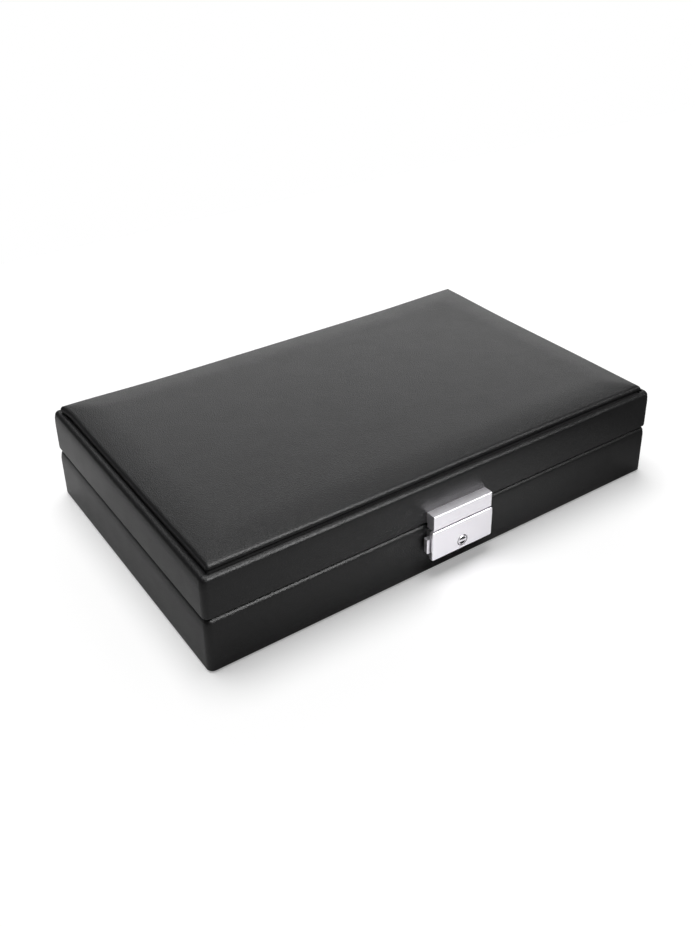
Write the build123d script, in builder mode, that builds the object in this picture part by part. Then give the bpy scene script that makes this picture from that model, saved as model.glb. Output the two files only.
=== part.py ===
"""Flat leather-covered cufflink box: a base and a hinged padded lid of thin boards, a lift-out
tray of eighteen cells, and a case lock with two push tabs and a key plug.

Millimetres. The origin is the middle of the underside, X runs to the right along the front,
Y from front to back, Z up. The lid is shut, the tray is down and the lock is not locked.
"""
from build123d import *
import os

os.makedirs("parts", exist_ok=True)

# ---- outside of the box
box_length = 280.0
box_depth = 176.0
base_height = 29.05
seam_gap = 0.6
lid_wall_height = 22.15
corner_radius = 4.2
foot_edge_bevel = 0.8
seam_edge_bevel = 1.0
rim_radius = 2.4

# ---- sheet materials
leather = 1.2
board = 6.0
bottom_board_thickness = 3.0
lid_board_thickness = 4.0
felt = 0.4
lining = 1.0
felt_inset = 3.0
leather_turn_in = 10.0

# ---- padded panel on the lid
groove_inset_front = 3.2
groove_inset_ends = 4.0
groove_width = 1.4
groove_depth = 1.6
groove_gap = 0.4
groove_corner_radius = 1.0
panel_leather_thickness = 0.8
panel_board_thickness = 2.0
panel_edge_height = 4.6
panel_edge_roll = 1.7
panel_crown = 2.5
panel_fade = 20.0
panel_corner_radius = 1.6
crown_steps = 4

# ---- tray and what it rests on
ledge_width = 5.0
ledge_height = 9.2
tray_height = 17.0
tray_clearance = 0.8
tray_wall = 3.0
tray_floor_thickness = 2.0
divider = 2.4
divider_below_rim = 1.5
lap_clearance = 0.1
cell_columns = 6
cell_rows = 3
cell_pad_thickness = 0.8
cell_pad_clearance = 0.3
pull_tab_width = 16.0
pull_tab_thickness = 1.0
pull_tab_above_rim = 3.0
pull_tab_below_rim = 10.0
lower_divider_spacing = 84.0
lower_divider_clearance = 0.5
lid_pad_thickness = 2.5
lid_pad_margin = 2.0
lid_pad_edge_bevel = 1.0

# ---- hinges
hinge_length = 32.0
hinge_spacing_share = 0.61
hinge_pivot_inset = 1.0
knuckle_radius = 2.0
knuckle_notch_clearance = 0.3
hinge_pin_radius = 0.8
pin_running_clearance = 0.05
knuckle_gap = 0.15
hinge_screw_spacing = 20.0
hinge_screw_radius = 0.8
hinge_screw_head_radius = 1.5
hinge_screw_length = 7.0

# ---- lock
lock_length = 38.5
lock_plate_height = 16.7
lock_plate_thickness = 1.0
plate_corner_radius = 0.9
plate_edge_fold = 1.2
plate_edge_wall = 0.35
lock_plate_bottom = 10.55
lock_standout = 5.7
lock_case_length = 36.8
lock_case_wall = 0.9
lock_case_margin = 0.5
striker_length = 37.1
striker_height = 8.4
striker_gap = 0.9
striker_relief = 0.5
metal_edge_radius = 0.5
tab_reach = 1.9
tab_height = 8.3
tab_thickness = 2.8
tab_set_back = 0.8
tab_clearance = 0.15
tab_flange = 1.2
tab_shoulder = 0.8
tab_travel = 1.8
catch_thickness = 1.4
catch_stand = 1.3
catch_bite = 1.1
catch_nose_height = 2.2
hook_thickness = 1.4
hook_clearance = 0.3
hook_slot_clearance = 0.3
plug_radius = 2.7
plug_gap = 0.5
plug_height_in_plate = 4.7
plug_recess_radius = 2.1
plug_recess_depth = 1.8
plug_bar_height = 1.1
plug_proud = 0.15
collar_wall = 0.5
flange_thickness = 0.7
cam_half_length = 2.5
cam_width = 1.8
cam_clearance = 0.2
spring_reach = 0.85
spring_strip = 0.25
spring_width = 1.2
spring_folds = 5
fixing_screw_radius = 1.0
fixing_hole_clearance = 0.1
fixing_boss_radius = 1.6
fixing_head_radius = 2.2
fixing_head_thickness = 1.2
low_fixing_spacing = 25.2
high_fixing_spacing = 10.4
striker_fixing_spacing = 22.0
striker_screw_depth = 4.0

# ---- heights that follow
wrap_bottom = felt
bottom_board_low = wrap_bottom + leather
bottom_board_top = bottom_board_low + bottom_board_thickness
base_board_top = base_height - leather
lid_bottom = base_height + seam_gap
lid_board_low = lid_bottom + leather
rim_top = lid_bottom + lid_wall_height
lid_board_top = rim_top - leather
lid_ceiling = lid_board_top - lid_board_thickness
floor_top = bottom_board_top + lining
tray_bottom = floor_top + ledge_height
tray_top = tray_bottom + tray_height
tray_floor_top = tray_bottom + tray_floor_thickness
divider_top = tray_top - divider_below_rim
pivot_z = base_height + seam_gap / 2
pivot_y = box_depth / 2 - hinge_pivot_inset
hinge_spacing = hinge_spacing_share * box_length

# ---- plan sizes that follow
carcass_length = box_length - 2 * leather
carcass_depth = box_depth - 2 * leather
carcass_radius = corner_radius - leather
inner_length = carcass_length - 2 * board
inner_depth = carcass_depth - 2 * board
lined_length = inner_length - 2 * lining
lined_depth = inner_depth - 2 * lining
tray_length = lined_length - 2 * tray_clearance
tray_depth = lined_depth - 2 * tray_clearance
tray_inner_length = tray_length - 2 * tray_wall
tray_inner_depth = tray_depth - 2 * tray_wall
cell_length = (tray_inner_length - (cell_columns - 1) * divider) / cell_columns
cell_depth = (tray_inner_depth - (cell_rows - 1) * divider) / cell_rows
front_face = -box_depth / 2
base_front_inside = front_face + leather + board

# ---- lock sizes that follow
plate_front = front_face - lock_standout
plate_back = plate_front + lock_plate_thickness
plate_top = lock_plate_bottom + lock_plate_height
plate_middle = lock_plate_bottom + lock_plate_height / 2
case_low = lock_plate_bottom + lock_case_margin
case_high = plate_top - lock_case_margin
case_inside_low = case_low + lock_case_wall
case_inside_high = case_high - lock_case_wall
case_inside_half = lock_case_length / 2 - lock_case_wall
low_fixing_z = case_inside_low + fixing_boss_radius - 0.2
high_fixing_z = case_inside_high - fixing_boss_radius - 0.2
lock_fixings = [(-low_fixing_spacing / 2, low_fixing_z), (low_fixing_spacing / 2, low_fixing_z),
                (-high_fixing_spacing / 2, high_fixing_z), (high_fixing_spacing / 2, high_fixing_z)]
striker_fixing_z = lid_bottom + striker_screw_depth - 0.6
striker_fixings = [(-striker_fixing_spacing / 2, striker_fixing_z),
                   (striker_fixing_spacing / 2, striker_fixing_z)]


def write(piece, name):
    """Label a finished piece and write it under its node's name."""
    piece.label = name
    export_step(piece, f"parts/{name}.step")


def hinge_centres():
    return (-hinge_spacing / 2, hinge_spacing / 2)


def slab(length, depth, low, high, radius=0.0):
    """A flat piece centred on the box, with square or rounded upright corners."""
    with BuildPart() as piece:
        with BuildSketch(Plane.XY.offset(low)):
            if radius > 0:
                RectangleRounded(length, depth, radius)
            else:
                Rectangle(length, depth)
        extrude(amount=high - low)
    return piece.part


def ring(outer_length, outer_depth, inner_ring_length, inner_ring_depth, low, high):
    """A square-cornered band of lining between two outlines."""
    with BuildPart() as piece:
        with BuildSketch(Plane.XY.offset(low)):
            Rectangle(outer_length, outer_depth)
            Rectangle(inner_ring_length, inner_ring_depth, mode=Mode.SUBTRACT)
        extrude(amount=high - low)
    return piece.part


def mitred_wall(side, low, high):
    """One wall board, mitred at both ends, with the outer corners rounded under the leather."""
    outer_x, outer_y = carcass_length / 2, carcass_depth / 2
    inner_x, inner_y = inner_length / 2, inner_depth / 2
    outlines = {
        "front": [(-outer_x, -outer_y), (outer_x, -outer_y), (inner_x, -inner_y), (-inner_x, -inner_y)],
        "back": [(outer_x, outer_y), (-outer_x, outer_y), (-inner_x, inner_y), (inner_x, inner_y)],
        "left": [(-outer_x, outer_y), (-outer_x, -outer_y), (-inner_x, -inner_y), (-inner_x, inner_y)],
        "right": [(outer_x, -outer_y), (outer_x, outer_y), (inner_x, inner_y), (inner_x, -inner_y)],
    }
    with BuildPart() as wall:
        with BuildSketch(Plane.XY.offset(low)):
            RectangleRounded(carcass_length, carcass_depth, carcass_radius)
            with BuildLine():
                Polyline(*outlines[side], close=True)
            make_face(mode=Mode.INTERSECT)
        extrude(amount=high - low)
    return wall.part


def knuckle_notches():
    """Room for the two hinge barrels in the back edges of boards and leather."""
    with BuildPart() as notches:
        for centre in hinge_centres():
            start = Plane(origin=(centre - hinge_length / 2 - knuckle_gap, pivot_y, pivot_z),
                          x_dir=(0, 1, 0), z_dir=(1, 0, 0))
            with BuildSketch(start):
                Circle(knuckle_radius + knuckle_notch_clearance)
            extrude(amount=hinge_length + 2 * knuckle_gap)
    return notches.part


def leaf_seats(low, high):
    """The two shallow recesses that the hinge leaves lie in."""
    seat_depth = board + leather - hinge_pivot_inset
    with BuildPart() as seats:
        with BuildSketch(Plane.XY.offset(low)):
            with Locations(*[(x, box_depth / 2 - hinge_pivot_inset - seat_depth / 2)
                             for x in hinge_centres()]):
                Rectangle(hinge_length + 2 * knuckle_gap, seat_depth)
        extrude(amount=high - low)
    return seats.part


def hinge_screw_places():
    """Screw centres of both hinges in plan, on the middle line of the leaf's flat part."""
    leaf_edge = pivot_y - knuckle_radius - knuckle_notch_clearance
    leaf_back = inner_depth / 2
    row = (leaf_edge + leaf_back) / 2
    return [(centre + side * hinge_screw_spacing / 2, row)
            for centre in hinge_centres() for side in (-1, 1)]


def screw_pilots(low, high):
    with BuildPart() as pilots:
        with BuildSketch(Plane.XY.offset(low)):
            with Locations(*hinge_screw_places()):
                Circle(hinge_screw_radius)
        extrude(amount=high - low)
    return pilots.part


def front_bores(places, start_y, end_y, radius):
    """Round bores that run from front to back through a front wall, at (x, z) places."""
    with BuildPart() as bores:
        with BuildSketch(Plane.XZ.offset(-end_y)):
            with Locations(*places):
                Circle(radius)
        extrude(amount=end_y - start_y)
    return bores.part


# ======================================================================= base
notches = knuckle_notches()


def fixing_room(places):
    """Clearance bores and head recesses for screws put in from inside a front wall."""
    with BuildPart() as room:
        add(front_bores(places, front_face - leather, base_front_inside,
                        fixing_screw_radius + fixing_hole_clearance))
        add(front_bores(places, base_front_inside - fixing_head_thickness, base_front_inside,
                        fixing_head_radius + fixing_hole_clearance))
    return room.part


# Felt sheet that the box stands on, glued over the leather's turned-in edge.
with BuildPart() as base_felt:
    with BuildSketch():
        RectangleRounded(box_length - 2 * felt_inset, box_depth - 2 * felt_inset, corner_radius)
    extrude(amount=felt)
write(base_felt.part, "base_felt")

# Bottom board, stepped round its edge for the turned-in leather.
with BuildPart() as base_bottom_board:
    add(slab(carcass_length, carcass_depth, bottom_board_low, bottom_board_top, carcass_radius))
    add(slab(carcass_length - 2 * leather_turn_in, carcass_depth - 2 * leather_turn_in,
             wrap_bottom, bottom_board_low, corner_radius))
write(base_bottom_board.part, "base_bottom_board")

with BuildPart() as base_front_board:
    add(mitred_wall("front", bottom_board_top, base_board_top))
    add(fixing_room(lock_fixings), mode=Mode.SUBTRACT)
write(base_front_board.part, "base_front_board")

with BuildPart() as base_back_board:
    add(mitred_wall("back", bottom_board_top, base_board_top))
    add(notches, mode=Mode.SUBTRACT)
    add(screw_pilots(base_board_top - hinge_screw_length, base_board_top), mode=Mode.SUBTRACT)
write(base_back_board.part, "base_back_board")

for side in ("left", "right"):
    write(mitred_wall(side, bottom_board_top, base_board_top), f"base_{side}_board")

# Leather of the base: outside walls, over the top edges, and turned in under the bottom board.
with BuildPart() as base_leather:
    with BuildSketch(Plane.XY.offset(wrap_bottom)):
        RectangleRounded(box_length, box_depth, corner_radius)
    extrude(amount=base_height - wrap_bottom)
    chamfer(base_leather.faces().sort_by(Axis.Z)[-1].edges(), seam_edge_bevel)
    chamfer(base_leather.faces().sort_by(Axis.Z)[0].edges(), foot_edge_bevel)
    add(slab(carcass_length, carcass_depth, bottom_board_low, base_board_top, carcass_radius),
        mode=Mode.SUBTRACT)
    add(slab(inner_length, inner_depth, base_board_top, base_height), mode=Mode.SUBTRACT)
    add(slab(carcass_length - 2 * leather_turn_in, carcass_depth - 2 * leather_turn_in,
             wrap_bottom, bottom_board_low, corner_radius), mode=Mode.SUBTRACT)
    add(notches, mode=Mode.SUBTRACT)
    add(leaf_seats(base_board_top, base_height), mode=Mode.SUBTRACT)
    add(fixing_room(lock_fixings), mode=Mode.SUBTRACT)
write(base_leather.part, "base_leather")

# Velour lining on the floor and round the walls.
write(slab(inner_length, inner_depth, bottom_board_top, floor_top), "base_floor_lining")
write(ring(inner_length, inner_depth, lined_length, lined_depth, floor_top, base_board_top),
      "base_wall_lining")

# Covered strips round the floor, which the tray rests on.
for name, sign in (("front", -1), ("back", 1)):
    with BuildPart() as ledge:
        with BuildSketch(Plane.XY.offset(floor_top)):
            with Locations((0, sign * (lined_depth - ledge_width) / 2)):
                Rectangle(lined_length, ledge_width)
        extrude(amount=ledge_height)
    write(ledge.part, f"tray_ledge_{name}")
for name, sign in (("left", -1), ("right", 1)):
    with BuildPart() as ledge:
        with BuildSketch(Plane.XY.offset(floor_top)):
            with Locations((sign * (lined_length - ledge_width) / 2, 0)):
                Rectangle(ledge_width, lined_depth - 2 * ledge_width)
        extrude(amount=ledge_height)
    write(ledge.part, f"tray_ledge_{name}")

# Two partitions that part the space under the tray in three.
for name, sign in (("left", -1), ("right", 1)):
    with BuildPart() as partition:
        with BuildSketch(Plane.XY.offset(floor_top)):
            with Locations((sign * lower_divider_spacing / 2, 0)):
                Rectangle(divider, lined_depth - 2 * ledge_width)
        extrude(amount=ledge_height - lower_divider_clearance)
    write(partition.part, f"lower_partition_{name}")

# ======================================================================= lift-out tray
write(slab(tray_inner_length, tray_inner_depth, tray_bottom, tray_floor_top), "tray_floor")

for name, sign in (("front", -1), ("back", 1)):
    with BuildPart() as tray_side:
        with BuildSketch(Plane.XY.offset(tray_bottom)):
            with Locations((0, sign * (tray_depth - tray_wall) / 2)):
                Rectangle(tray_length, tray_wall)
        extrude(amount=tray_height)
        fillet(tray_side.edges().group_by(Axis.Z)[-1].filter_by(Axis.X), tray_wall / 3)
    write(tray_side.part, f"tray_wall_{name}")
for name, sign in (("left", -1), ("right", 1)):
    with BuildPart() as tray_end:
        with BuildSketch(Plane.XY.offset(tray_bottom)):
            with Locations((sign * (tray_length - tray_wall) / 2, 0)):
                Rectangle(tray_wall, tray_inner_depth)
        extrude(amount=tray_height)
        fillet(tray_end.edges().group_by(Axis.Z)[-1].filter_by(Axis.Y), tray_wall / 3)
    write(tray_end.part, f"tray_wall_{name}")

# Egg-crate dividers: the long ones are slotted from above, the cross ones from below.
lap_height = (tray_floor_top + divider_top) / 2
column_places = [(-tray_inner_length / 2 + n * (cell_length + divider) - divider / 2)
                 for n in range(1, cell_columns)]
row_places = [(-tray_inner_depth / 2 + n * (cell_depth + divider) - divider / 2)
              for n in range(1, cell_rows)]

for number, y in enumerate(row_places, start=1):
    with BuildPart() as long_divider:
        with BuildSketch(Plane.XY.offset(tray_floor_top)):
            with Locations((0, y)):
                Rectangle(tray_inner_length, divider)
        extrude(amount=divider_top - tray_floor_top)
        with BuildSketch(Plane.XY.offset(lap_height)):
            with Locations(*[(x, y) for x in column_places]):
                Rectangle(divider + 2 * lap_clearance, 2 * divider)
        extrude(amount=divider_top - lap_height, mode=Mode.SUBTRACT)
    write(long_divider.part, f"tray_long_divider_{number}")

with BuildPart() as cross_dividers:
    with BuildSketch(Plane.XY.offset(tray_floor_top)):
        with Locations(*[(x, 0) for x in column_places]):
            Rectangle(divider, tray_inner_depth)
    extrude(amount=divider_top - tray_floor_top)
    with BuildSketch(Plane.XY.offset(tray_floor_top)):
        with Locations(*[(x, y) for x in column_places for y in row_places]):
            Rectangle(2 * divider, divider + 2 * lap_clearance)
    extrude(amount=lap_height - tray_floor_top, mode=Mode.SUBTRACT)
write(cross_dividers.part, "tray_cross_dividers")

# Thin pads in the bottoms of the cells.
with BuildPart() as tray_cell_pads:
    with BuildSketch(Plane.XY.offset(tray_floor_top)):
        with GridLocations(cell_length + divider, cell_depth + divider, cell_columns, cell_rows):
            Rectangle(cell_length - 2 * cell_pad_clearance, cell_depth - 2 * cell_pad_clearance)
    extrude(amount=cell_pad_thickness)
write(tray_cell_pads.part, "tray_cell_pads")

# Leather pull tabs glued inside the tray's end walls, to lift it out by.
pull_tab_height = pull_tab_above_rim + pull_tab_below_rim
pull_tab_middle = tray_top + (pull_tab_above_rim - pull_tab_below_rim) / 2
with BuildPart() as tray_pull_tabs:
    for sign in (-1, 1):
        with BuildSketch(Plane(origin=(sign * tray_inner_length / 2, 0, pull_tab_middle),
                               x_dir=(0, 1, 0), z_dir=(1, 0, 0))):
            RectangleRounded(pull_tab_width, pull_tab_height, pull_tab_width / 4)
        extrude(amount=-sign * pull_tab_thickness)
write(tray_pull_tabs.part, "tray_pull_tabs")

# ======================================================================= lid
groove_outer = (box_length - 2 * groove_inset_ends, box_depth - 2 * groove_inset_front)
groove_inner = (groove_outer[0] - 2 * groove_width, groove_outer[1] - 2 * groove_width)
panel_length = groove_outer[0] - 2 * groove_gap
panel_depth = groove_outer[1] - 2 * groove_gap


def lid_wall(side):
    """A lid wall with its length of the groove that the covering's edges are tucked into."""
    with BuildPart() as wall:
        add(mitred_wall(side, lid_board_low, lid_board_top))
        with BuildSketch(Plane.XY.offset(lid_board_top - groove_depth)):
            RectangleRounded(*groove_outer, groove_corner_radius)
            Rectangle(*groove_inner, mode=Mode.SUBTRACT)
        extrude(amount=groove_depth, mode=Mode.SUBTRACT)
        if side == "front":
            add(fixing_room(striker_fixings), mode=Mode.SUBTRACT)
        if side == "back":
            add(notches, mode=Mode.SUBTRACT)
            add(screw_pilots(lid_board_low, lid_board_low + hinge_screw_length), mode=Mode.SUBTRACT)
    return wall.part


for side in ("front", "back", "left", "right"):
    write(lid_wall(side), f"lid_{side}_board")

write(slab(inner_length, inner_depth, lid_ceiling, lid_board_top), "lid_top_board")

# Leather of the lid's walls: from the lower edges up over the rim and into the groove.
with BuildPart() as lid_leather:
    with BuildSketch(Plane.XY.offset(lid_bottom)):
        RectangleRounded(box_length, box_depth, corner_radius)
    extrude(amount=lid_wall_height)
    fillet(lid_leather.faces().sort_by(Axis.Z)[-1].edges(), rim_radius)
    chamfer(lid_leather.faces().sort_by(Axis.Z)[0].edges(), seam_edge_bevel)
    add(slab(carcass_length, carcass_depth, lid_board_low, lid_board_top, carcass_radius),
        mode=Mode.SUBTRACT)
    add(slab(inner_length, inner_depth, lid_bottom, lid_board_low), mode=Mode.SUBTRACT)
    add(slab(*groove_outer, lid_board_top, rim_top, groove_corner_radius), mode=Mode.SUBTRACT)
    add(notches, mode=Mode.SUBTRACT)
    add(leaf_seats(lid_bottom, lid_board_low), mode=Mode.SUBTRACT)
    add(fixing_room(striker_fixings), mode=Mode.SUBTRACT)
write(lid_leather.part, "lid_leather")


def crowned_panel(skin):
    """The padded panel's form, drawn in all round by the thickness of its covering, or not at all."""
    edge_top = lid_board_top + panel_edge_height - skin
    length, depth = panel_length - 2 * skin, panel_depth - 2 * skin
    outline = [(0.0, edge_top - panel_edge_roll), (0.3 * panel_edge_roll, edge_top - 0.3 * panel_edge_roll)]
    for step in range(crown_steps + 1):
        along = step / crown_steps
        outline.append((panel_edge_roll + panel_fade * along,
                        edge_top + panel_crown * (2 * along - along ** 2)))
    with BuildPart() as form:
        add(slab(length, depth, lid_board_top, edge_top - panel_edge_roll, panel_corner_radius))
        for (low_in, low), (high_in, high) in zip(outline, outline[1:]):
            for step_in, level in ((low_in, low), (high_in, high)):
                with BuildSketch(Plane.XY.offset(level)):
                    RectangleRounded(length - 2 * step_in, depth - 2 * step_in,
                                     panel_corner_radius + step_in / 3)
            loft(ruled=True)
    return form.part


panel_outside = crowned_panel(0.0)
panel_inside = crowned_panel(panel_leather_thickness)
panel_core = slab(panel_length - 2 * panel_leather_thickness, panel_depth - 2 * panel_leather_thickness,
                  lid_board_top, lid_board_top + panel_board_thickness, panel_corner_radius)
write(panel_core, "panel_board")

with BuildPart() as panel_foam:
    add(panel_inside)
    add(panel_core, mode=Mode.SUBTRACT)
write(panel_foam.part, "panel_foam")

with BuildPart() as panel_leather:
    add(panel_outside)
    add(panel_inside, mode=Mode.SUBTRACT)
write(panel_leather.part, "panel_leather")

# Lining of the lid: a band round the walls and a soft pad under the top board.
write(ring(inner_length, inner_depth, lined_length, lined_depth, lid_board_low, lid_ceiling),
      "lid_wall_lining")
with BuildPart() as lid_pad:
    with BuildSketch(Plane.XY.offset(lid_ceiling - lid_pad_thickness)):
        RectangleRounded(lined_length - 2 * lid_pad_margin, lined_depth - 2 * lid_pad_margin,
                         corner_radius)
    extrude(amount=lid_pad_thickness)
    chamfer(lid_pad.faces().sort_by(Axis.Z)[0].edges(), lid_pad_edge_bevel)
write(lid_pad.part, "lid_pad")

# ======================================================================= hinges
knuckle_third = hinge_length / 3


def hinge_leaf(centre, flat_low, own_spans, bore_radius):
    """A leaf that lies in its seat, with the knuckles it carries on the pivot line."""
    reach = pivot_y - inner_depth / 2
    edge = knuckle_radius + knuckle_notch_clearance
    with BuildPart() as leaf:
        with BuildSketch(Plane.XY.offset(flat_low)):
            with Locations((centre, inner_depth / 2 + (reach - edge) / 2)):
                Rectangle(hinge_length, reach - edge)
        extrude(amount=leather)
        for start, end in own_spans:
            with BuildSketch(Plane.XY.offset(flat_low)):
                with Locations((centre + (start + end) / 2, pivot_y - (edge + 0.5) / 2)):
                    Rectangle(end - start, edge + 0.5)
            extrude(amount=leather)
            barrel = Plane(origin=(centre + start, pivot_y, pivot_z), x_dir=(0, 1, 0), z_dir=(1, 0, 0))
            with BuildSketch(barrel):
                Circle(knuckle_radius)
            extrude(amount=end - start)
        bore = Plane(origin=(centre - hinge_length / 2, pivot_y, pivot_z),
                     x_dir=(0, 1, 0), z_dir=(1, 0, 0))
        with BuildSketch(bore):
            Circle(bore_radius)
        extrude(amount=hinge_length, mode=Mode.SUBTRACT)
    return leaf.part


def countersinks(face_level, into):
    """Cones for the screw heads; into is -1 where the screws go down and 1 where they go up."""
    with BuildPart() as cones:
        for level, radius in ((face_level, hinge_screw_head_radius),
                              (face_level + into * leather, hinge_screw_radius)):
            with BuildSketch(Plane.XY.offset(level)):
                Circle(radius)
        loft(ruled=True)
    return cones.part


def hinge_screw(place, face_level, into):
    """One countersunk wood screw, head flush with the leaf."""
    x, y = place
    shank_low = min(face_level + into * leather, face_level + into * (leather + hinge_screw_length))
    with BuildPart() as screw:
        with Locations((x, y, 0)):
            add(countersinks(face_level, into))
        with BuildSketch(Plane.XY.offset(shank_low)):
            with Locations((x, y)):
                Circle(hinge_screw_radius)
        extrude(amount=hinge_screw_length)
    return screw.part


outer_knuckles = ((-hinge_length / 2, -knuckle_third / 2 - knuckle_gap),
                  (knuckle_third / 2 + knuckle_gap, hinge_length / 2))
middle_knuckle = ((-knuckle_third / 2, knuckle_third / 2),)

for name, centre in zip(("left", "right"), hinge_centres()):
    own_places = [place for place in hinge_screw_places() if abs(place[0] - centre) < hinge_length]
    with BuildPart() as base_leaf:
        add(hinge_leaf(centre, base_board_top, outer_knuckles, hinge_pin_radius))
        for place in own_places:
            add(hinge_screw(place, base_height, -1), mode=Mode.SUBTRACT)
    write(base_leaf.part, f"hinge_{name}_base_leaf")
    with BuildPart() as lid_leaf:
        add(hinge_leaf(centre, lid_bottom, middle_knuckle, hinge_pin_radius + pin_running_clearance))
        for place in own_places:
            add(hinge_screw(place, lid_bottom, 1), mode=Mode.SUBTRACT)
    write(lid_leaf.part, f"hinge_{name}_lid_leaf")
    with BuildPart() as pin:
        with BuildSketch(Plane(origin=(centre - hinge_length / 2, pivot_y, pivot_z),
                               x_dir=(0, 1, 0), z_dir=(1, 0, 0))):
            Circle(hinge_pin_radius)
        extrude(amount=hinge_length)
    write(pin.part, f"hinge_{name}_pin")

with BuildPart() as base_hinge_screws:
    for place in hinge_screw_places():
        add(hinge_screw(place, base_height, -1))
write(base_hinge_screws.part, "base_hinge_screws")
with BuildPart() as lid_hinge_screws:
    for place in hinge_screw_places():
        add(hinge_screw(place, lid_bottom, 1))
write(lid_hinge_screws.part, "lid_hinge_screws")

# ======================================================================= lock
plug_z = lock_plate_bottom + plug_height_in_plate
tab_low = plate_middle - tab_height / 2
tab_high = plate_middle + tab_height / 2
tab_front = plate_back + tab_set_back
tab_outer = lock_length / 2 + tab_reach
tab_inner = case_inside_half - tab_flange
catch_back = front_face - catch_stand
striker_low = plate_top + striker_gap
striker_high = striker_low + striker_height


def upright(y_front):
    """Sketch plane parallel to the front; what is drawn in it is extruded towards the back."""
    return Plane(origin=(0, y_front, 0), x_dir=(1, 0, 0), z_dir=(0, -1, 0))


def box_between(x_low, x_high, y_front, y_back, z_low, z_high):
    """A block given by its limits."""
    with BuildPart() as block:
        with BuildSketch(upright(y_front)):
            with Locations(((x_low + x_high) / 2, (z_low + z_high) / 2)):
                Rectangle(x_high - x_low, z_high - z_low)
        extrude(amount=-(y_back - y_front))
    return block.part


# Hook and catch sizes, outwards from the middle of the lock, for the right-hand side.
hook_outer = tab_inner - tab_clearance - hook_clearance
hook_inner = hook_outer - hook_thickness
hook_lip = hook_inner - hook_clearance + tab_clearance - catch_bite
hook_low = case_inside_low + 0.62 * (case_inside_high - case_inside_low)
catch_top = case_inside_high - hook_clearance
catch_nose_low = catch_top - catch_nose_height
catch_tail_top = hook_low - 2 * hook_clearance
riser_outer = hook_lip - catch_bite
riser_inner = riser_outer - 2.2
catch_end = cam_half_length + tab_travel + cam_clearance
post_half = riser_inner - 7.0
spring_z = (plug_z + cam_width + high_fixing_z - fixing_boss_radius) / 2

# Pressed steel case: back plate, walls, windows for the tabs, slots for the hooks, four bosses.
with BuildPart() as lock_case:
    add(box_between(-lock_case_length / 2, lock_case_length / 2, plate_back, front_face,
                    case_low, case_high))
    add(box_between(-case_inside_half, case_inside_half, plate_back, front_face - lock_case_wall,
                    case_inside_low, case_inside_high), mode=Mode.SUBTRACT)
    add(box_between(-lock_length, lock_length, plate_back, front_face - lock_case_wall,
                    tab_low - tab_clearance, tab_high + tab_clearance), mode=Mode.SUBTRACT)
    for sign in (-1, 1):
        reach = sorted((sign * (hook_lip - hook_slot_clearance), sign * (hook_outer + hook_slot_clearance)))
        add(box_between(*reach, catch_back - catch_thickness - hook_slot_clearance,
                        front_face - lock_case_wall, case_inside_high, case_high), mode=Mode.SUBTRACT)
    add(box_between(-post_half, post_half, catch_back - catch_thickness, front_face - lock_case_wall,
                    spring_z - 2 * spring_reach, spring_z + 2 * spring_reach))
    with BuildSketch(upright(catch_back - catch_thickness)):
        with Locations(*lock_fixings):
            Circle(fixing_boss_radius)
    extrude(amount=-(catch_stand + catch_thickness - lock_case_wall))
    with BuildSketch(upright(catch_back - catch_thickness)):
        with Locations(*lock_fixings):
            Circle(fixing_screw_radius)
    extrude(amount=-(catch_stand + catch_thickness), mode=Mode.SUBTRACT)
write(lock_case.part, "lock_case")

# Face plate, its edge folded back over the case, with gaps for the tabs and the plug's round hole.
fold_back = plate_back + plate_edge_fold
with BuildPart() as lock_plate:
    with BuildSketch(upright(plate_front)):
        with Locations((0, plate_middle)):
            RectangleRounded(lock_length, lock_plate_height, plate_corner_radius)
    extrude(amount=-(fold_back - plate_front))
    chamfer(lock_plate.faces().sort_by(Axis.Y)[0].edges(), metal_edge_radius / 2)
    add(box_between(-lock_length / 2 + plate_edge_wall, lock_length / 2 - plate_edge_wall,
                    plate_back, fold_back, lock_plate_bottom + plate_edge_wall, plate_top - plate_edge_wall),
        mode=Mode.SUBTRACT)
    add(box_between(-lock_length, lock_length, plate_back, fold_back,
                    tab_low - tab_clearance, tab_high + tab_clearance), mode=Mode.SUBTRACT)
    with BuildSketch(upright(plate_front)):
        with Locations((0, plug_z)):
            Circle(plug_radius + plug_gap)
    extrude(amount=-lock_plate_thickness, mode=Mode.SUBTRACT)
write(lock_plate.part, "lock_plate")

# Collar on the back of the plate, in which the plug turns.
collar_back = catch_back - catch_thickness - pin_running_clearance - flange_thickness
with BuildPart() as lock_collar:
    with BuildSketch(upright(plate_back)):
        with Locations((0, plug_z)):
            Circle(plug_radius + collar_wall)
            Circle(plug_radius + pin_running_clearance, mode=Mode.SUBTRACT)
    extrude(amount=-(collar_back - plate_back))
write(lock_collar.part, "lock_collar")

# Plug: a recessed face crossed by a bar, a flange behind the collar and the cam on its tail.
with BuildPart() as lock_plug:
    with BuildSketch(upright(plate_front - plug_proud)):
        with Locations((0, plug_z)):
            Circle(plug_radius)
    extrude(amount=-(collar_back + pin_running_clearance - plate_front + plug_proud))
    chamfer(lock_plug.faces().sort_by(Axis.Y)[0].edges(), metal_edge_radius / 2)
    with BuildSketch(upright(plate_front - plug_proud)):
        with Locations((0, plug_z)):
            Circle(plug_recess_radius)
            Rectangle(2 * plug_radius, plug_bar_height, mode=Mode.SUBTRACT)
    extrude(amount=-plug_recess_depth, mode=Mode.SUBTRACT)
    with BuildSketch(upright(collar_back + pin_running_clearance)):
        with Locations((0, plug_z)):
            Circle(plug_radius + collar_wall / 2)
    extrude(amount=-(flange_thickness - pin_running_clearance))
write(lock_plug.part, "lock_plug")

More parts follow.
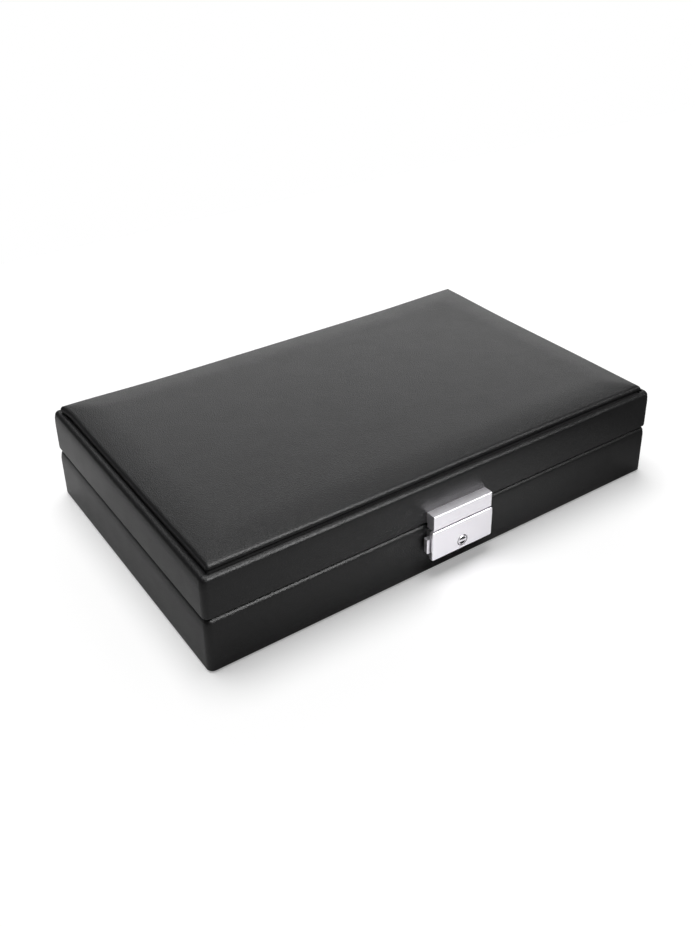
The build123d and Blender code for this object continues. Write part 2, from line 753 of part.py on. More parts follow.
# Cam riveted to the plug's tail: upright it lets the catches pass, across it holds them apart.
with BuildPart() as lock_cam:
    with BuildSketch(upright(catch_back - catch_thickness - pin_running_clearance)):
        with Locations((0, plug_z)):
            SlotOverall(2 * cam_half_length, cam_width, rotation=90)
    extrude(amount=-catch_thickness)
write(lock_cam.part, "lock_cam")

# Push tabs, each a block with a flange inside the case, and the catches that they carry.
for name, sign in (("left", -1), ("right", 1)):
    reach = sorted((sign * tab_inner, sign * tab_outer))
    flange = sorted((sign * tab_inner, sign * (case_inside_half - pin_running_clearance)))
    with BuildPart() as push_tab:
        add(box_between(*reach, tab_front, tab_front + tab_thickness, tab_low, tab_high))
        outer_face = push_tab.faces().sort_by(Axis.X)[-1 if sign > 0 else 0]
        fillet(outer_face.edges(), metal_edge_radius)
        add(box_between(*flange, tab_front, tab_front + tab_thickness,
                        tab_low - tab_shoulder, tab_high + tab_shoulder))
        hook_room = sorted((sign * tab_inner, sign * (hook_outer + tab_travel + hook_clearance)))
        add(box_between(*hook_room, catch_back - catch_thickness - hook_clearance,
                        tab_front + tab_thickness, hook_low - hook_clearance, tab_high + tab_shoulder),
            mode=Mode.SUBTRACT)
    write(push_tab.part, f"push_tab_{name}")
    with BuildPart() as catch:
        with BuildSketch(upright(catch_back - catch_thickness)):
            with BuildLine():
                Polyline((sign * tab_inner, tab_low + 1.2), (sign * tab_inner, catch_tail_top),
                         (sign * riser_outer, catch_tail_top), (sign * riser_outer, catch_nose_low),
                         (sign * (hook_lip + catch_bite), catch_nose_low),
                         (sign * (hook_lip + catch_bite), catch_nose_low + 0.7),
                         (sign * riser_outer, catch_top), (sign * riser_inner, catch_top),
                         (sign * riser_inner, plug_z + cam_width), (sign * catch_end, plug_z + cam_width),
                         (sign * catch_end, plug_z - cam_width / 2),
                         (sign * riser_inner, plug_z - cam_width / 2),
                         (sign * riser_outer, tab_low + 1.2), close=True)
            make_face()
        extrude(amount=-catch_thickness)
    write(catch.part, f"catch_{name}")

# Folded flat springs that push the catches apart, between the case's middle post and the risers.
spring_start = post_half + spring_strip
spring_pitch = (riser_inner - spring_strip - spring_start) / spring_folds
for name, sign in (("left", -1), ("right", 1)):
    folds = [(sign * (spring_start + n * spring_pitch), spring_z + spring_reach * (-1) ** n)
             for n in range(spring_folds + 1)]
    with BuildPart() as catch_spring:
        with BuildSketch(upright(catch_back - catch_thickness / 2 - spring_width / 2)):
            with BuildLine():
                Polyline(*folds)
            trace(line_width=spring_strip)
        extrude(amount=-spring_width)
    write(catch_spring.part, f"catch_spring_{name}")

# Striker on the lid: a bar that hangs in front of the base, with a relieved back.
with BuildPart() as striker:
    add(box_between(-striker_length / 2, striker_length / 2, plate_front, front_face,
                    striker_low, striker_high))
    fillet(striker.faces().sort_by(Axis.Y)[0].edges(), metal_edge_radius)
    add(box_between(-striker_length, striker_length, front_face - striker_relief, front_face,
                    striker_low, lid_bottom + seam_edge_bevel), mode=Mode.SUBTRACT)
    add(front_bores(striker_fixings, front_face - striker_screw_depth, front_face, fixing_screw_radius),
        mode=Mode.SUBTRACT)
write(striker.part, "striker")

# Two hooks under the striker, which drop into the case beside the catches.
with BuildPart() as striker_hooks:
    for sign in (-1, 1):
        with BuildSketch(upright(catch_back - catch_thickness)):
            with BuildLine():
                Polyline((sign * hook_outer, striker_low), (sign * hook_outer, hook_low),
                         (sign * (hook_lip + 0.5), hook_low), (sign * hook_lip, hook_low + 0.5),
                         (sign * hook_lip, catch_nose_low - hook_clearance),
                         (sign * hook_inner, catch_nose_low - hook_clearance),
                         (sign * hook_inner, striker_low), close=True)
            make_face()
        extrude(amount=-catch_thickness)
write(striker_hooks.part, "striker_hooks")


def fixing_screws(places, tip_y):
    """Pan-head screws put in from inside the front wall."""
    with BuildPart() as screws:
        add(front_bores(places, tip_y, base_front_inside, fixing_screw_radius))
        add(front_bores(places, base_front_inside - fixing_head_thickness, base_front_inside,
                        fixing_head_radius))
    return screws.part


write(fixing_screws(lock_fixings, catch_back - catch_thickness + 0.3), "lock_screws")
write(fixing_screws(striker_fixings, front_face - striker_screw_depth), "striker_screws")
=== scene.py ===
import math
import bmesh
import bpy
from mathutils import Matrix, Vector


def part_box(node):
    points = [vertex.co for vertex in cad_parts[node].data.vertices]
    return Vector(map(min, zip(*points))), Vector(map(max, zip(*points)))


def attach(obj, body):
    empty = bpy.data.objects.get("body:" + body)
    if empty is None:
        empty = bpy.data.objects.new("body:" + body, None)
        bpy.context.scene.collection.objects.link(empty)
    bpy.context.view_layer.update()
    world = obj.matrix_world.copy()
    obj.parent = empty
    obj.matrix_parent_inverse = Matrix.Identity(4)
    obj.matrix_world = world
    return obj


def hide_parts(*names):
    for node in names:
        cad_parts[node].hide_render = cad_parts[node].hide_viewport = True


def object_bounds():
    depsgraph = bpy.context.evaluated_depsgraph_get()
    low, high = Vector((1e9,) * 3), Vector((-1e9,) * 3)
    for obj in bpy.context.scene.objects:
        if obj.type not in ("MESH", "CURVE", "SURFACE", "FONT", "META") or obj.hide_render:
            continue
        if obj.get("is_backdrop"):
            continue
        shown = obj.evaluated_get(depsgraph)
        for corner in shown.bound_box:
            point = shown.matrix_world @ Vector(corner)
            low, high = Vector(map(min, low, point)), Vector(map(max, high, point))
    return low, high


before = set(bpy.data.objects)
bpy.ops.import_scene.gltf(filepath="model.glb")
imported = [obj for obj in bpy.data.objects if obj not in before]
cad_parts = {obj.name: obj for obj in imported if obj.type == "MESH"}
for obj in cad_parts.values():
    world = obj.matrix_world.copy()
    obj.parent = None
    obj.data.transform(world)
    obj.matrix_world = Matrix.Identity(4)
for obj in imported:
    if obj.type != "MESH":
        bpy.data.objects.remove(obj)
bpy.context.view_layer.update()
bpy.ops.object.select_all(action="DESELECT")


# ---------------------------------------------------------------- camera, floor and light
# The camera stands in front of the box's left corner and looks down on it. The floor is a pale
# table top under an even overhead light. Past its edge the room is dim, but the camera sees white
# there. A white screen behind on the right is what the lid's top mirrors. A soft lamp in front is
# what the rounded edges mirror, and it lights nothing else.
view_turn = math.radians(-34.0756)
view_height = math.radians(27.6864)
view_roll = math.radians(-1.0852)
view_distance = 0.64362
aim = Vector((0.04438, 0.07159, 0.028))
photo_height = 927      # pixels, like the next two
focal_length = 1012.36
lens_row = 369.2
sensor = 36
towards_camera = Vector((math.sin(view_turn) * math.cos(view_height),
                         -math.cos(view_turn) * math.cos(view_height), math.sin(view_height)))
level_right = Vector((math.cos(view_turn), math.sin(view_turn), 0))
level_up = towards_camera.cross(level_right)
camera_right = level_right * math.cos(view_roll) + level_up * math.sin(view_roll)
camera_up = level_up * math.cos(view_roll) - level_right * math.sin(view_roll)
bpy.ops.object.camera_add()
camera = bpy.context.object
camera.name = "camera"
camera.matrix_world = Matrix.Translation(aim + towards_camera * view_distance) @ Matrix(
    (camera_right, camera_up, towards_camera)).transposed().to_4x4()
camera.data.lens = focal_length / photo_height * sensor
camera.data.sensor_width = sensor
camera.data.shift_y = (lens_row - photo_height / 2) / photo_height
bpy.context.scene.camera = camera
bpy.context.scene.view_settings.view_transform = "Standard"

bpy.ops.mesh.primitive_plane_add(size=1.3, location=(0.29, -0.19, 0))
bpy.ops.object.transform_apply(location=True, rotation=True, scale=True)
floor = bpy.context.object
floor.name = "floor"
floor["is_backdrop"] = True


def principled(name, colour, roughness):
    """A new material whose shader has this colour and roughness; returns its tree and shader too."""
    material = bpy.data.materials.new(name)
    material.use_nodes = True
    tree = material.node_tree
    shader = tree.nodes["Principled BSDF"]
    shader.inputs["Base Color"].default_value = (*colour, 1)
    shader.inputs["Roughness"].default_value = roughness
    return material, tree, shader


def between(tree, value, low, high, from_low=0.3, from_high=0.7):
    """The value, spread between two others."""
    spread = tree.nodes.new("ShaderNodeMapRange")
    spread.inputs["From Min"].default_value = from_low
    spread.inputs["From Max"].default_value = from_high
    spread.inputs["To Min"].default_value = low
    spread.inputs["To Max"].default_value = high
    tree.links.new(value, spread.inputs["Value"])
    return spread.outputs["Result"]


def object_coords(tree):
    return tree.nodes.new("ShaderNodeTexCoord").outputs["Object"]


def object_place(tree, axis):
    """How far along the object's own X, Y or Z a point lies."""
    parts = tree.nodes.new("ShaderNodeSeparateXYZ")
    tree.links.new(object_coords(tree), parts.inputs["Vector"])
    return parts.outputs[axis]


# Painted reflection: for glossy rays only, the table top's colour is made darker to the right of the lock,
# so that the leather there mirrors hardly any light, and a little darker to the left of the box. The
# camera sees the plain pale colour.
floor_paper, tree, shader = principled("floor_paper", (0.8, 0.8, 0.8), 0.9)
shader.inputs["Specular IOR Level"].default_value = 0.0
shader.inputs["Emission Color"].default_value = (1, 1, 1, 1)
rays = tree.nodes.new("ShaderNodeLightPath")
tree.links.new(between(tree, rays.outputs["Is Camera Ray"], 0.0, 0.28, 0.0, 1.0),
               shader.inputs["Emission Strength"])
mirrored_floor_shade = tree.nodes.new("ShaderNodeValToRGB")
mirrored_floor_shade.color_ramp.elements[0].position = 0.25
mirrored_floor_shade.color_ramp.elements[0].color = (0.62, 0.62, 0.62, 1)
mirrored_floor_shade.color_ramp.elements[1].position = 0.78
mirrored_floor_shade.color_ramp.elements[1].color = (0.16, 0.16, 0.16, 1)
for position in (0.42, 0.60):
    mirrored_floor_shade.color_ramp.elements.new(position).color = (0.9, 0.9, 0.9, 1)
# Painted reflection: the grey of the table top as the leather mirrors it, set by how far left or right it
# lies.
tree.links.new(between(tree, object_place(tree, "X"), 0.0, 1.0, -0.3, 0.3), mirrored_floor_shade.inputs["Fac"])
paper = tree.nodes.new("ShaderNodeMix")
paper.data_type = "RGBA"
tree.links.new(rays.outputs["Is Glossy Ray"], paper.inputs[0])
paper.inputs[6].default_value = (0.8, 0.8, 0.8, 1)
tree.links.new(mirrored_floor_shade.outputs["Color"], paper.inputs[7])
tree.links.new(paper.outputs[2], shader.inputs["Base Color"])
floor.data.materials.append(floor_paper)

world = bpy.data.worlds.new("studio")
bpy.context.scene.world = world
world.use_nodes = True
tree = world.node_tree
sky = tree.nodes["Background"]
sky.inputs["Color"].default_value = (1, 1, 1, 1)
straight = tree.nodes.new("ShaderNodeLightPath")
tree.links.new(between(tree, straight.outputs["Is Camera Ray"], 0.16, 1.0, 0.0, 1.0),
               sky.inputs["Strength"])

bpy.ops.object.light_add(type="SUN", location=(0, 0, 2))
overhead = bpy.context.object
overhead.name = "overhead_light"
overhead.data.energy = 2.4
overhead.data.angle = math.radians(42)
overhead.rotation_euler = (math.radians(-11), math.radians(-1), 0)

for name, place, width, height, radiance in (
        ("back_screen", (0.85, 1.25, 0.55), 1.8, 1.0, 1.4),
        ("front_lamp", (0.24, -0.95, 1.05), 0.8, 0.8, 15.0)):
    bpy.ops.object.light_add(type="AREA", location=place)
    lamp = bpy.context.object
    lamp.name = name
    lamp.data.shape = "RECTANGLE"
    lamp.data.size = width
    lamp.data.size_y = height
    lamp.data.energy = radiance * math.pi * width * height
    lamp.visible_camera = False
    lamp.visible_diffuse = name == "back_screen"
    lamp.rotation_euler = (Vector((0, 0, 0.03)) - Vector(place)).to_track_quat("-Z", "Y").to_euler()


# ---------------------------------------------------------------- leather cover of the base
# Smooth black box leather, 1.2 mm thick, glued round the base's boards. It runs from the inside
# edge of the wall tops, over the rounded rim, down the walls and 10 mm in under the bottom board.
# At the back it is cut away for the two hinges.
mm = 0.001
box_length = 280.0 * mm
box_depth = 176.0 * mm
leather = 1.2 * mm
wall = 7.2 * mm
base_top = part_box("base_leather")[1].z
base_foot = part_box("base_leather")[0].z
corner_round = 3.4 * mm
lean_reach = 6.5 * mm
lean_rows = (2.6, 3.3, 4.2, 5.2, 6.5)
seat_depth = 1.35 * mm


def choose(kind, test):
    """In edit mode, select only the edges or faces whose middle passes the test."""
    shape = bmesh.from_edit_mesh(bpy.context.object.data)
    bpy.ops.mesh.select_all(action="DESELECT")
    bpy.ops.mesh.select_mode(type=kind)
    for item in shape.edges if kind == "EDGE" else shape.faces:
        if kind == "EDGE":
            middle = (item.verts[0].co + item.verts[1].co) / 2
        else:
            middle = item.calc_center_median()
        if test(middle, item):
            item.select_set(True)
    shape.select_flush_mode()
    bmesh.update_edit_mesh(bpy.context.object.data)


def runs_upright(edge):
    along = edge.verts[0].co - edge.verts[1].co
    return abs(along.z) > 1e-5 and abs(along.x) < 1e-5 and abs(along.y) < 1e-5


def block(name, low, high):
    """A cube stretched between two corners, with its place in its mesh; left in object mode."""
    low, high = Vector(low), Vector(high)
    bpy.ops.object.select_all(action="DESELECT")
    bpy.ops.mesh.primitive_cube_add(size=1, location=(low + high) / 2)
    piece = bpy.context.object
    piece.name = name
    piece.scale = high - low
    bpy.ops.object.transform_apply(location=True, rotation=True, scale=True)
    return piece


def round_corners(radius, steps=6):
    choose("EDGE", lambda middle, edge: runs_upright(edge))
    bpy.ops.mesh.bevel(offset=radius, segments=steps, affect="EDGES")


def add_rows(heights):
    """Part the upright edges at these heights, from the top down."""
    choose("EDGE", lambda middle, edge: runs_upright(edge))
    bpy.ops.mesh.subdivide(number_cuts=len(heights))
    shape = bmesh.from_edit_mesh(bpy.context.object.data)
    levels = sorted({round(vertex.co.z, 6) for vertex in shape.verts}, reverse=True)[1:-1]
    for vertex in shape.verts:
        for level, height in zip(levels, heights):
            if abs(vertex.co.z - level) < 1e-5:
                vertex.co.z = height
                break
    bmesh.update_edit_mesh(bpy.context.object.data)


def draw_in(top, left, right, front, outside):
    """Pull the walls inwards below their top, more and more, as leather drawn over a padded edge
    is, where they lie less than a given distance in from the outside."""
    shape = bmesh.from_edit_mesh(bpy.context.object.data)
    for vertex in shape.verts:
        along = min((vertex.co.z - (top - lean_reach)) / lean_reach, 1.0)
        inset = min(box_length / 2 - abs(vertex.co.x), box_depth / 2 - abs(vertex.co.y))
        if along > 0 and inset < outside:
            vertex.co.x += (left if vertex.co.x < 0 else -right) * along ** 2
            vertex.co.y -= math.copysign(front * along ** 2, vertex.co.y)
    bmesh.update_edit_mesh(bpy.context.object.data)


def round_level_edge(height, radius, steps):
    """Round the loop of edges that lies at this height."""
    choose("EDGE", lambda middle, edge: not runs_upright(edge) and abs(middle.z - height) < 1e-5
           and any(abs(face.normal.z) < 0.5 for face in edge.link_faces))
    bpy.ops.mesh.bevel(offset=radius, segments=steps, affect="EDGES")


def pick(piece):
    """Make this piece the only selected one, and the active one."""
    bpy.ops.object.select_all(action="DESELECT")
    bpy.context.view_layer.objects.active = piece
    piece.select_set(True)


def finish_with(piece, kind, **settings):
    """Add one modifier, set it and apply it."""
    pick(piece)
    modifier = piece.modifiers.new(kind.lower(), kind)
    for key, value in settings.items():
        setattr(modifier, key, value)
    bpy.ops.object.modifier_apply(modifier=modifier.name)


def smooth(piece, angle=35):
    pick(piece)
    bpy.ops.object.shade_smooth_by_angle(angle=math.radians(angle))


def hinge_room(seat_low, seat_high):
    """Solid stand-ins for the two barrels and the two leaf seats, to cut leather away with."""
    barrel_radius = 2.3 * mm
    slack = 0.15 * mm
    barrels, seats = [], []
    for side in ("left", "right"):
        low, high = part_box(f"hinge_{side}_pin")
        middle = (low + high) / 2
        bpy.ops.object.select_all(action="DESELECT")
        bpy.ops.mesh.primitive_cylinder_add(radius=barrel_radius, depth=high.x - low.x + 2 * slack,
                                            vertices=48, location=middle, rotation=(0, math.pi / 2, 0))
        bpy.ops.object.transform_apply(location=True, rotation=True, scale=True)
        barrels.append(bpy.context.object)
        seats.append(block("seat", (low.x - slack, box_depth / 2 - wall - mm, seat_low),
                           (high.x + slack, middle.y, seat_high)))
    rooms = []
    for pair in (barrels, seats):
        bpy.ops.object.select_all(action="DESELECT")
        for piece in pair:
            piece.select_set(True)
        bpy.context.view_layer.objects.active = pair[0]
        bpy.ops.object.join()
        rooms.append(bpy.context.object)
    return rooms


def cut_away(piece, rooms):
    """Cut the stand-ins out, and clear the empty material slots that the cut leaves behind."""
    for room in rooms:
        finish_with(piece, "BOOLEAN", object=room, operation="DIFFERENCE", solver="MANIFOLD")
        bpy.data.objects.remove(room)
    piece.data.materials.clear()
    for face in piece.data.polygons:
        face.material_index = 0


base_cover = block("base_cover", (-box_length / 2, -box_depth / 2, base_foot),
                   (box_length / 2, box_depth / 2, base_top))
bpy.ops.object.mode_set(mode="EDIT")
choose("FACE", lambda middle, face: face.normal.z > 0.99)
bpy.ops.mesh.inset(thickness=wall)
bpy.ops.mesh.delete(type="FACE")
choose("FACE", lambda middle, face: face.normal.z < -0.99)
bpy.ops.mesh.inset(thickness=10 * mm)
bpy.ops.mesh.delete(type="FACE")
add_rows([base_top - drop * mm for drop in lean_rows])
round_corners(corner_round)
round_level_edge(base_top, 2.2 * mm, 8)
round_level_edge(base_foot, 0.9 * mm, 3)
draw_in(base_top, left=1.3 * mm, right=0.8 * mm, front=0.5 * mm, outside=3 * mm)
bpy.ops.object.mode_set(mode="OBJECT")
finish_with(base_cover, "SOLIDIFY", thickness=leather, offset=-1)
cut_away(base_cover, hinge_room(base_top - seat_depth, base_top + 2 * mm))
smooth(base_cover)


def speckle(tree, coords, size, detail=4.0):
    """Soft noise whose lumps are about this size, in metres."""
    noise = tree.nodes.new("ShaderNodeTexNoise")
    noise.inputs["Scale"].default_value = 1 / size
    noise.inputs["Detail"].default_value = detail
    tree.links.new(coords, noise.inputs["Vector"])
    return noise.outputs["Fac"]


def add_up(tree, first, second, share):
    """The first value plus a share of the second."""
    total = tree.nodes.new("ShaderNodeMath")
    total.operation = "MULTIPLY_ADD"
    tree.links.new(second, total.inputs[0])
    total.inputs[1].default_value = share
    tree.links.new(first, total.inputs[2])
    return total.outputs[0]


def tint(tree, value, dark, light):
    """The value, turned into a colour between a dark and a light one."""
    ramp = tree.nodes.new("ShaderNodeValToRGB")
    ramp.color_ramp.elements[0].position = 0.3
    ramp.color_ramp.elements[0].color = (*dark, 1)
    ramp.color_ramp.elements[1].position = 0.7
    ramp.color_ramp.elements[1].color = (*light, 1)
    tree.links.new(value, ramp.inputs["Fac"])
    return ramp.outputs["Color"]


def raise_surface(tree, shader, height, depth, strength=1.0):
    bump = tree.nodes.new("ShaderNodeBump")
    bump.inputs["Strength"].default_value = strength
    bump.inputs["Distance"].default_value = depth
    tree.links.new(height, bump.inputs["Height"])
    tree.links.new(bump.outputs["Normal"], shader.inputs["Normal"])


def leather_finish(name, dark, light, roughness, pebble):
    """Dyed leather: fine pebbled grain with pores, faint hand-made waviness and uneven polish."""
    material, tree, shader = principled(name, light, roughness)
    shader.inputs["Specular IOR Level"].default_value = 0.32
    coords = object_coords(tree)
    pebbles = tree.nodes.new("ShaderNodeTexVoronoi")
    pebbles.feature = "SMOOTH_F1"
    pebbles.inputs["Scale"].default_value = 1 / pebble
    pebbles.inputs["Smoothness"].default_value = 0.6
    tree.links.new(coords, pebbles.inputs["Vector"])
    height = add_up(tree, pebbles.outputs["Distance"], speckle(tree, coords, pebble / 2.5), 0.7)
    height = add_up(tree, height, speckle(tree, coords, 9 * mm, 2.0), 0.6)
    raise_surface(tree, shader, height, 0.1 * mm)
    tree.links.new(between(tree, speckle(tree, coords, 14 * mm), roughness - 0.02, roughness + 0.03),
                   shader.inputs["Roughness"])
    tree.links.new(tint(tree, speckle(tree, coords, 3 * mm), dark, light), shader.inputs["Base Color"])
    return material


black_leather = leather_finish("black_leather", (0.0028, 0.0027, 0.0031), (0.0048, 0.0047, 0.0053),
                               0.34, 0.55 * mm)
base_cover.data.materials.append(black_leather)
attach(base_cover, "base")
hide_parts("base_leather")


# ---------------------------------------------------------------- felt under the base
# A thin sheet of pressed black felt, glued on over the turned-in leather, on which the box stands.
felt_low, felt_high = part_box("base_felt")
foot_felt = block("foot_felt", felt_low, felt_high)
bpy.ops.object.mode_set(mode="EDIT")
round_corners(4.2 * mm, 5)
round_level_edge(felt_low.z, 0.12 * mm, 2)
bpy.ops.object.mode_set(mode="OBJECT")
smooth(foot_felt)
black_felt, tree, shader = principled("black_felt", (0.03, 0.03, 0.033), 0.95)
coords = object_coords(tree)
fuzz = add_up(tree, speckle(tree, coords, 0.25 * mm, 8.0), speckle(tree, coords, 2 * mm), 0.6)
raise_surface(tree, shader, fuzz, 0.1 * mm, 0.8)
tree.links.new(tint(tree, fuzz, (0.018, 0.018, 0.02), (0.05, 0.05, 0.055)), shader.inputs["Base Color"])
shader.inputs["Sheen Weight"].default_value = 0.3
foot_felt.data.materials.append(black_felt)
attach(foot_felt, "base")
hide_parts("base_felt")


# ---------------------------------------------------------------- bare boards
# Sawn hardboard for the walls, bottom and lid, mitred and glued, all under leather or velour.
# The lid's boards are coloured near black because they show at the bottom of the groove round the panel:
# painted shade that keeps the groove dark.
board_wood, tree, shader = principled("board_wood", (0.5, 0.41, 0.3), 0.75)
coords = object_coords(tree)
fibres = add_up(tree, speckle(tree, coords, 0.8 * mm, 8.0), speckle(tree, coords, 6 * mm), 0.8)
raise_surface(tree, shader, fibres, 0.08 * mm, 0.6)
tree.links.new(tint(tree, fibres, (0.4, 0.32, 0.22), (0.6, 0.5, 0.38)), shader.inputs["Base Color"])


def give_material(material, *nodes):
    """Put this material on CAD nodes that keep their own shape."""
    for node in nodes:
        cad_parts[node].data.materials.clear()
        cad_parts[node].data.materials.append(material)


give_material(board_wood, "base_bottom_board", "base_front_board", "base_back_board", "base_left_board",
              "base_right_board")

# Painted shade: a near-black board colour, so that the groove round the panel stays dark.
groove_shade_board, tree, shader = principled("groove_shade_board", (0.015, 0.015, 0.017), 0.85)
coords = object_coords(tree)
raise_surface(tree, shader, speckle(tree, coords, 0.8 * mm, 8.0), 0.08 * mm, 0.6)
tree.links.new(tint(tree, speckle(tree, coords, 2 * mm), (0.006, 0.006, 0.007), (0.016, 0.015, 0.016)),
               shader.inputs["Base Color"])
give_material(groove_shade_board, "lid_front_board", "lid_back_board", "lid_left_board", "lid_right_board",
              "lid_top_board", "panel_board")


# ---------------------------------------------------------------- velour lining of the base
# Warm grey velour on thin card, one sheet on the floor and a band round the walls, both glued in.
def velour_finish(name, dark, light):
    """Short pile: a soft sheen, brushed lighter and darker patches, and a fine nap."""
    material, tree, shader = principled(name, light, 0.9)
    coords = object_coords(tree)
    nap = add_up(tree, speckle(tree, coords, 0.3 * mm, 8.0), speckle(tree, coords, 1.4 * mm), 0.5)
    raise_surface(tree, shader, nap, 0.12 * mm, 0.7)
    brushed = add_up(tree, speckle(tree, coords, 18 * mm, 3.0), nap, 0.25)
    tree.links.new(tint(tree, brushed, dark, light), shader.inputs["Base Color"])
    shader.inputs["Sheen Weight"].default_value = 0.3
    shader.inputs["Sheen Roughness"].default_value = 0.4
    shader.inputs["Specular IOR Level"].default_value = 0.2
    return material


grey_velour = velour_finish("grey_velour", (0.46, 0.445, 0.42), (0.58, 0.56, 0.53))

low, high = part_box("base_floor_lining")
floor_velour = block("floor_velour", low, high)
bpy.ops.object.mode_set(mode="EDIT")
round_level_edge(high.z, 0.3 * mm, 3)
bpy.ops.object.mode_set(mode="OBJECT")
smooth(floor_velour)
floor_velour.data.materials.append(grey_velour)
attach(floor_velour, "base")
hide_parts("base_floor_lining")


def velour_band(name, node, body, material):
    """A band of lining round the inside of the walls, with softly rounded edges."""
    low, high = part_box(node)
    band = block(name, low, high)
    bpy.ops.object.mode_set(mode="EDIT")
    choose("FACE", lambda middle, face: abs(face.normal.z) > 0.99)
    bpy.ops.mesh.delete(type="FACE")
    bpy.ops.object.mode_set(mode="OBJECT")
    finish_with(band, "SOLIDIFY", thickness=1.0 * mm, offset=-1, use_even_offset=True)
    finish_with(band, "BEVEL", width=0.25 * mm, segments=2, limit_method="ANGLE")
    smooth(band)
    band.data.materials.append(material)
    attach(band, body)
    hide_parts(node)


velour_band("base_wall_velour", "base_wall_lining", "base", grey_velour)


# ---------------------------------------------------------------- ledges, partitions and tray
# Thin boards covered with the same velour. The ledges round the base carry the tray, the two
# partitions part the space under it, and the tray's walls and slotted dividers make 18 cells.
covered_velour = velour_finish("covered_velour", (0.44, 0.425, 0.40), (0.56, 0.54, 0.51))
give_material(covered_velour, "tray_ledge_front", "tray_ledge_back", "tray_ledge_left", "tray_ledge_right",
              "lower_partition_left", "lower_partition_right", "tray_floor", "tray_wall_front",
              "tray_wall_back", "tray_wall_left", "tray_wall_right", "tray_long_divider_1",
              "tray_long_divider_2", "tray_cross_dividers")


# ---------------------------------------------------------------- soft pads in the tray's cells
# A thin velour pad lies in each cell. One is made and plumped up, and the rest are copies of it.
def plump(piece, pressure, most, frames=12):
    """Let the filling press the cover outwards where it isn't held: a short cloth run whose
    result is kept, with no point moving further than the given distance."""
    before = [vertex.co.copy() for vertex in piece.data.vertices]
    bpy.context.view_layer.objects.active = piece
    cloth = piece.modifiers.new("cloth", "CLOTH")
    cloth.settings.quality = 4
    cloth.settings.mass = 0.2
    cloth.settings.tension_stiffness = 15
    cloth.settings.compression_stiffness = 15
    cloth.settings.bending_stiffness = 0.5
    cloth.settings.use_pressure = True
    cloth.settings.uniform_pressure_force = pressure
    cloth.settings.vertex_group_mass = "held"
    cloth.settings.effector_weights.gravity = 0
    cloth.point_cache.frame_start = 1
    cloth.point_cache.frame_end = frames
    for step in range(1, frames + 1):
        bpy.context.scene.frame_set(step)
    swollen = piece.evaluated_get(bpy.context.evaluated_depsgraph_get())
    after = [vertex.co.copy() for vertex in swollen.data.vertices]
    piece.modifiers.remove(cloth)
    for vertex, was, now in zip(piece.data.vertices, before, after):
        move = now - was
        if move.length > most:
            move = move.normalized() * most
        vertex.co = was + move
    bpy.context.scene.frame_set(1)


def hold(piece, test):
    """Name the vertices that the glued or sewn edge holds still."""
    group = piece.vertex_groups.new(name="held")
    group.add([vertex.index for vertex in piece.data.vertices if test(vertex.co)], 1.0, "REPLACE")


def extend_rim(new_place):
    """Extrude the selected loop, and put each new vertex where the function says."""
    bpy.ops.mesh.extrude_region_move()
    shape = bmesh.from_edit_mesh(bpy.context.object.data)
    for vertex in shape.verts:
        if vertex.select:
            vertex.co = new_place(vertex.co)
    bmesh.update_edit_mesh(bpy.context.object.data)


def close_up():
    """Close the selected loop with a face, turn all faces outward and leave edit mode."""
    bpy.ops.mesh.edge_face_add()
    bpy.ops.mesh.select_all(action="SELECT")
    bpy.ops.mesh.normals_make_consistent(inside=False)
    bpy.ops.object.mode_set(mode="OBJECT")


def pad(name, low, high, columns, rows, edge, crown, up=1):
    """A thin pad: a gridded sheet with rolled edges, crowned a little, closed underneath."""
    low, high = Vector(low), Vector(high)
    middle = (low + high) / 2
    bpy.ops.object.select_all(action="DESELECT")
    bpy.ops.mesh.primitive_grid_add(x_subdivisions=columns, y_subdivisions=rows, size=1,
                                    location=(middle.x, middle.y, high.z if up > 0 else low.z))
    piece = bpy.context.object
    piece.name = name
    piece.scale = (high.x - low.x, high.y - low.y, 1)
    bpy.ops.object.transform_apply(location=True, rotation=True, scale=True)
    face_level = high.z if up > 0 else low.z
    back_level = low.z if up > 0 else high.z
    for vertex in piece.data.vertices:
        inside = min(vertex.co.x - low.x, high.x - vertex.co.x,
                     vertex.co.y - low.y, high.y - vertex.co.y)
        along = min(inside / edge, 1.0)
        vertex.co.z = face_level - up * crown * (1 - math.sqrt(max(0.0, 1 - (1 - along) ** 2)))
    bpy.ops.object.mode_set(mode="EDIT")
    bpy.ops.mesh.select_all(action="SELECT")
    bpy.ops.mesh.region_to_loop()
    extend_rim(lambda co: (co.x, co.y, back_level))
    close_up()
    return piece


def cell_places():
    """Lowest and highest corner of each pad, from the box that the eighteen of them fill."""
    low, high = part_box("tray_cell_pads")
    gap = 3.0 * mm
    length = (high.x - low.x + gap) / 6
    depth = (high.y - low.y + gap) / 3
    return [(Vector((low.x + column * length, low.y + row * depth, low.z)),
             Vector((low.x + (column + 1) * length - gap, low.y + (row + 1) * depth - gap, high.z)))
            for row in range(3) for column in range(6)]


places = cell_places()
first_low, first_high = places[0]
first_pad = pad("cell_pad_1", first_low, first_high, 20, 24, 3 * mm, 0.45 * mm)
hold(first_pad, lambda co: co.z < first_low.z + 0.4 * mm)
plump(first_pad, 2.0, 0.25 * mm)
smooth(first_pad, 60)
first_pad.data.materials.append(grey_velour)
cell_pads = [first_pad]
for number, (low, high) in enumerate(places[1:], start=2):
    cell_pad = first_pad.copy()
    cell_pad.data = first_pad.data.copy()
    cell_pad.name = f"cell_pad_{number}"
    bpy.context.collection.objects.link(cell_pad)
    cell_pad.data.transform(Matrix.Translation(low - first_low))
    cell_pads.append(cell_pad)
for cell_pad in cell_pads:
    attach(cell_pad, "tray")
    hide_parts("tray_cell_pads")


